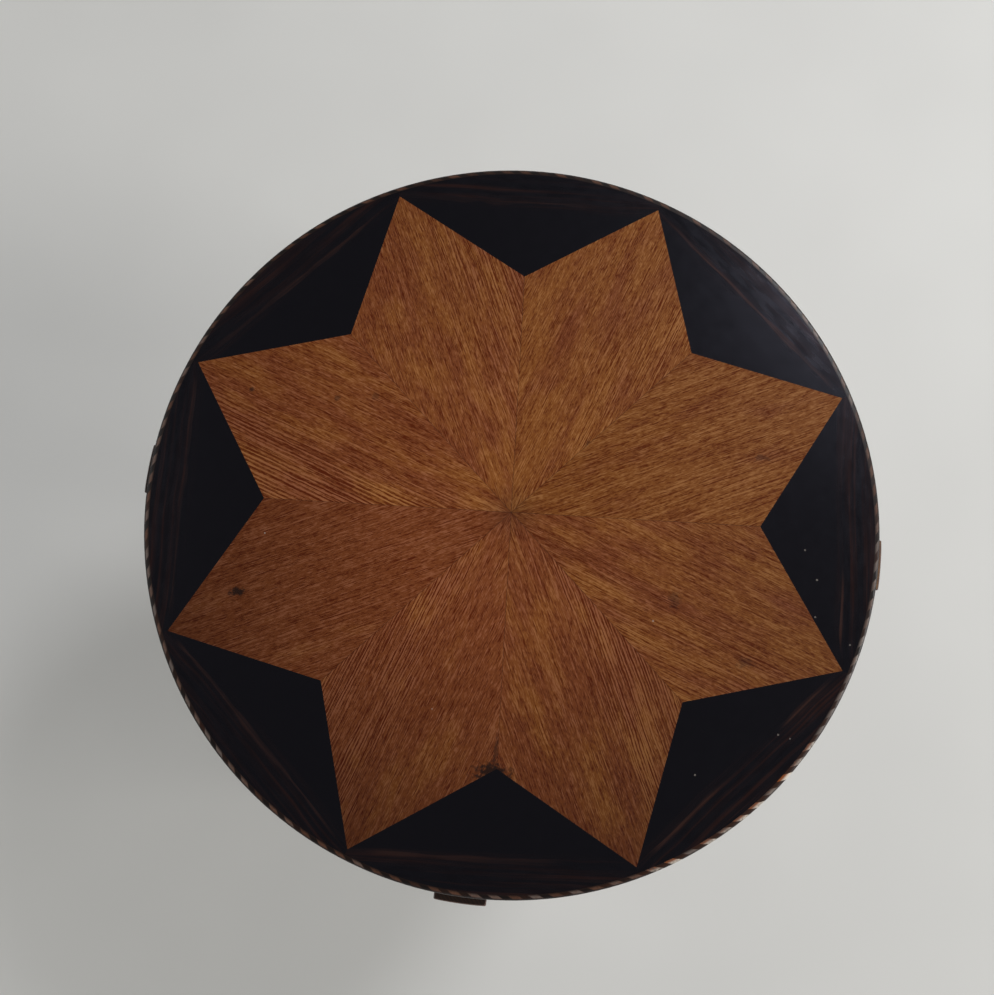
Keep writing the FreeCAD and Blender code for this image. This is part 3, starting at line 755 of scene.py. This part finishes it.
def end_grain_finish(name, lit_share):
    """End grain: growth rings, which are a sine across the piece bent by clouds, speckled with cut pores.

    The stain is rubbed through to red, and on to tan, where other clouds are high. A larger share adds more
    red and tan as painted light, for an end that the light falls on.
    """
    material, tree, shader = new_finish(name, Roughness=0.5, Specular_IOR_Level=0.3)
    place = own_place(tree)
    bent = reckon(tree, "MULTIPLY", clouds(tree, place, 3 * (end_bend,), 31.0), ring_bend)
    across = add(tree, "SeparateXYZ", {"Vector": place})
    phase = reckon(tree, "ADD", across.outputs["X"], across.outputs["Y"])
    phase = reckon(tree, "MULTIPLY_ADD", phase, 2 * math.pi / ring_step, bent)
    ring = reckon(tree, "MULTIPLY_ADD", reckon(tree, "SINE", phase), 0.5, 0.5)
    colour = mingle(tree, ring, shade(*end_dark), shade(*end_brown))
    bare = reckon(tree, "ADD", clouds(tree, place, 3 * (end_patch,), 36.0, 3.0), lit_share)
    colour = mingle(tree, rise(tree, bare, 0.75, 0.95), colour, shade(*end_red))
    colour = mingle(tree, rise(tree, bare, 0.85, 1.05), colour, shade(*end_tan))
    speckle = rise(tree, clouds(tree, place, 3 * (end_speckle,), 33.0), 0.5, 0.65)
    colour = mingle(tree, reckon(tree, "MULTIPLY", speckle, 0.6), colour, shade(*frame_pore))
    tree.links.new(colour, shader.inputs["Base Color"])
    return material


def spun(rings, turn):
    """Rings turned about the upright axis, as the only copy of their piece."""
    across, ahead = math.cos(turn), math.sin(turn)
    return (np.array(rings) @ np.array([[across, ahead, 0], [-ahead, across, 0], [0, 0, 1]]))[None]


def leg_rings(turn):
    """Rings of one leg from the foot up, for a leg on +X that is then turned to its place.

    A ring is a rectangle whose outer side is an arc about the upright axis, with eased corners. Its half
    width grows evenly from the foot to the end of the taper, and both ends draw in a little.
    """
    level = np.array([foot_level, foot_level + leg_end_easing, leg_taper_top,
                      leg_top - leg_end_easing, leg_top])
    inset = np.array([leg_end_easing, 0, 0, 0, leg_end_easing])
    grown = np.clip((level - foot_level) / (leg_taper_top - foot_level), 0, 1)
    half = leg_foot_half + (leg_half - leg_foot_half) * grown - inset
    rings = []
    for height, width, draw_in in zip(level, half, inset):
        inner, outer = leg_inner + draw_in, leg_outer - draw_in
        face = np.linspace(-1, 1, leg_bow_steps + 1)[1:-1] * (width - leg_easing)
        bow = np.stack([np.sqrt(outer ** 2 - face ** 2), face], axis=1)
        side = math.sqrt(outer ** 2 - width ** 2)
        ring = eased([(inner, -width), (side, -width), (side, width), (inner, width)], leg_easing)
        steps = len(ring) // 4
        ring = np.concatenate([ring[:2 * steps], bow, ring[2 * steps:]])
        rings.append(np.column_stack([ring, np.full(len(ring), height)]))
    return spun(rings, turn)


foot_level, leg_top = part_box("leg_right")[0].z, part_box("leg_right")[1].z
leg_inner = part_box("leg_right")[0].x
leg_outer = radii_of("leg_right")[1]
leg_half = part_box("leg_right")[1].y
foot_points = points_of("leg_right")
leg_foot_half = foot_points[foot_points[:, 2] < foot_level + leg_end_easing, 1].max()
end_grain = end_grain_finish("frame_end_grain", 0.0)
# The right leg's ends get painted light: they are painted lighter where light from the right falls on them.
end_grain_lit = end_grain_finish("frame_end_grain_painted_light", end_lit_share)
for number, name in enumerate(("right", "back", "left", "front")):
    ends = end_grain_lit if name == "right" else end_grain
    finishes = [frame_finish(f"leg_{name}_polish", leg_seed + seed_step * number), ends]
    leg = sweep(f"leg_{name}_shaped", leg_rings(number * math.pi / 2), finishes)
    stand_for(leg, "frame_wood", f"leg_{name}")


# The aprons are rails sawn to the curve of the top and tenoned into the legs.
# They are stained and polished with the legs, and their lower edges are eased.
apron_seed = 400.0
apron_easing = 0.0020
apron_stations = 33


def apron_rings(turn):
    """Rings of a rail between two legs: a rectangle of (radius, level) carried round the upright axis.

    Each point starts and stops where its own radius meets the flat side of a leg, so the ends are flat.
    """
    section = eased(
        [(apron_inner, apron_low), (apron_inner, apron_high),
         (apron_outer, apron_high), (apron_outer, apron_low)],
        [apron_easing, 0, 0, apron_easing],
    )
    radius, level = section.T
    start = np.arcsin(leg_half / radius)
    share = np.linspace(0, 1, apron_stations)[:, None]
    return round_axis(radius, turn + start + share * (math.pi / 2 - 2 * start), level)[None]


apron_low, apron_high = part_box("apron_1")[0].z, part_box("apron_1")[1].z
apron_inner, apron_outer = radii_of("apron_1")
for number in range(4):
    finishes = [frame_finish(f"apron_{number + 1}_polish", apron_seed + seed_step * number), end_grain]
    apron = sweep(f"apron_{number + 1}_bowed", apron_rings(number * math.pi / 2), finishes)
    stand_for(apron, "frame_wood", f"apron_{number + 1}")


# The stretchers are two straight bars, tenoned into the legs and halved over each other in the middle.
# Their edges are eased and they are stained like the legs.
bar_seed, bar_seed_turn = 500.0, 40
bar_easing = 0.0018
lap_clearance = 0.00015


def bar_rings(turn, lap_low, lap_high):
    """Rings of a bar along X, turned to its place: an eased rectangle that loses half its height at the lap.

    Stations stand in pairs at both shoulders of the lap, so the shoulders are upright.
    """
    station = np.array([-bar_reach, -lap_half, -lap_half, lap_half, lap_half, bar_reach])
    bottom = np.array([bar_low, bar_low, lap_low, lap_low, bar_low, bar_low])
    top = np.array([bar_high, bar_high, lap_high, lap_high, bar_high, bar_high])
    rings = []
    for place, below, above in zip(station, bottom, top):
        corners = [(-bar_half, below), (bar_half, below), (bar_half, above), (-bar_half, above)]
        section = eased(corners, bar_easing)
        rings.append(np.column_stack([np.full(len(section), place), section]))
    return spun(rings, turn)


bar_low, bar_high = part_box("stretcher_side")[0].z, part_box("stretcher_side")[1].z
bar_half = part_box("stretcher_side")[1].y
bar_reach = leg_inner
bar_middle = (bar_low + bar_high) / 2
lap_half = bar_half + lap_clearance
bars = (("side", 0.0, bar_low, bar_middle), ("front", math.pi / 2, bar_middle, bar_high))
for name, turn, lap_low, lap_high in bars:
    finishes = [frame_finish(f"stretcher_{name}_polish", bar_seed + bar_seed_turn * turn), end_grain]
    bar = sweep(f"stretcher_{name}_bar", bar_rings(turn, lap_low, lap_high), finishes)
    stand_for(bar, "frame_wood", f"stretcher_{name}")


# The buttons are small blocks of bare beech. A tongue on each sits in a slot of the apron, and a screw
# through it pulls the top down on the frame.
button_pale = (176, 128, 84)
button_brown = (142, 96, 60)
button_soft = (0.012, 0.012, 0.003)
button_fleck = (0.0030, 0.0030, 0.0006)


def button_finish():
    """Bare beech: short dark flecks in pale wood, with the grain across the slot."""
    material, tree, shader = new_finish("button_beech", Roughness=0.7, Specular_IOR_Level=0.3)
    place = own_place(tree)
    soft = clouds(tree, place, button_soft, 21.0, 3.0)
    fleck = rise(tree, clouds(tree, place, button_fleck, 22.0), 0.55, 0.70)
    share = reckon(tree, "MAXIMUM", rise(tree, soft, 0.35, 0.75), fleck)
    colour = mingle(tree, share, shade(*button_pale), shade(*button_brown))
    tree.links.new(colour, shader.inputs["Base Color"])
    return material


dress("table_buttons", button_finish())


# The screws and glides are plain steel: countersunk screws gone dull, and glides worn bright underneath.
# One screw holds each button, and one nailed glide is under each foot.
steel_grey = (120, 114, 104)
steel_brown = (92, 76, 60)
tarnish_size = (0.004, 0.004, 0.004)


def steel_finish(name, wear):
    """Steel with brown tarnish in clouds, rougher where it is tarnished."""
    material, tree, shader = new_finish(name, Metallic=1.0)
    place = own_place(tree)
    tarnish = rise(tree, clouds(tree, place, tarnish_size, 41.0, 4.0), wear, wear + 0.25)
    colour = mingle(tree, tarnish, shade(*steel_grey), shade(*steel_brown))
    tree.links.new(colour, shader.inputs["Base Color"])
    tree.links.new(reckon(tree, "MULTIPLY_ADD", tarnish, 0.25, 0.32), shader.inputs["Roughness"])
    return material


dress("button_screws", steel_finish("screw_dull_steel", 0.35))
dress("leg_glides", steel_finish("glide_worn_steel", 0.48))


# The floor is a plain pale round sheet. The light is soft: walls that are paler on the right and darken
# towards the ceiling, one lamp high beyond the far right, a broad one on the right, a weak one on the left.
floor_pale = (224, 223, 218)
floor_faint = 0.94
floor_mottle = (0.4, 0.4, 1)
floor_radius = 5.0
floor_corners = 96
wall_glow = 0.64
wall_lean = 0.45
ceiling_glow = 0.07
room_tint = (0.97, 0.98, 1.0, 1.0)
# Where the walls begin to darken and where the ceiling begins, from 0 at eye level to 1 overhead.
wall_top, ceiling_start = 0.45, 0.90
# Lamps: name, place, breadth, power and colour.
lamps = (
    ("ceiling", (1.5, 1.7, 2.9), 0.8, 46.0, (0.95, 0.96, 1.0)),
    ("right", (4.6, -0.6, 3.2), 2.6, 140.0, (1.0, 0.99, 0.97)),
    ("left", (-2.2, 0.2, 2.2), 2.0, 9.0, (0.98, 0.99, 1.0)),
)


def floor_finish():
    """Pale sheet with a very faint mottle."""
    material, tree, shader = new_finish("floor_pale_sheet", Roughness=0.6, Specular_IOR_Level=0.2)
    place = own_place(tree)
    mottle = clouds(tree, place, floor_mottle, 51.0)
    faint = tuple(floor_faint * part for part in floor_pale)
    tree.links.new(mingle(tree, mottle, shade(*faint), shade(*floor_pale)), shader.inputs["Base Color"])
    return material


floor_edge = round_axis(floor_radius, np.arange(floor_corners) * 2 * math.pi / floor_corners, 0.0)
floor_mesh = bpy.data.meshes.new("floor")
floor_mesh.from_pydata(floor_edge, [], [tuple(range(floor_corners))])
floor_mesh.materials.append(floor_finish())
floor = bpy.data.objects.new("floor", floor_mesh)
bpy.context.scene.collection.objects.link(floor)

aim = np.array([0.0, 0.0, face_level])
for name, place, size, power, colour in lamps:
    lamp = bpy.data.lights.new(name, "AREA")
    lamp.shape = "DISK"
    lamp.size = size
    lamp.energy = power
    lamp.color = colour
    holder = bpy.data.objects.new(name, lamp)
    holder.location = place
    across, ahead, up = aim - np.array(place)
    tilt = math.atan2(math.hypot(across, ahead), -up)
    holder.rotation_euler = (tilt, 0, math.atan2(across, -ahead) + math.pi)
    bpy.context.scene.collection.objects.link(holder)

world = bpy.data.worlds.new("room")
world.use_nodes = True
room = world.node_tree
heading = add(room, "SeparateXYZ", {"Vector": add(room, "TexCoord", {}).outputs["Generated"]})
glow = reckon(room, "MULTIPLY_ADD", heading.outputs["X"], wall_glow * wall_lean, wall_glow)
glow = reckon(room, "MULTIPLY", glow, rise(room, heading.outputs["Z"], ceiling_start, wall_top))
glow = reckon(room, "MAXIMUM", glow, ceiling_glow)
room.links.new(glow, room.nodes["Background"].inputs["Strength"])
room.nodes["Background"].inputs["Color"].default_value = room_tint
bpy.context.scene.world = world


# The camera looks almost straight down, from a little in front of the table, with the lens of a telephone.
camera_place = (0.00435, -0.10179, 1.3266)
camera_tilt = (8.89, 0.19, 7.65)
focal_pixels = 900.0
long_side_pixels = 995.0
camera = bpy.data.cameras.new("camera")
camera.lens = camera.sensor_width * focal_pixels / long_side_pixels
viewer = bpy.data.objects.new("camera", camera)
viewer.location = camera_place
viewer.rotation_euler = [math.radians(part) for part in camera_tilt]
bpy.context.scene.collection.objects.link(viewer)
bpy.context.scene.camera = viewer
bpy.context.scene.view_settings.view_transform = "Standard"
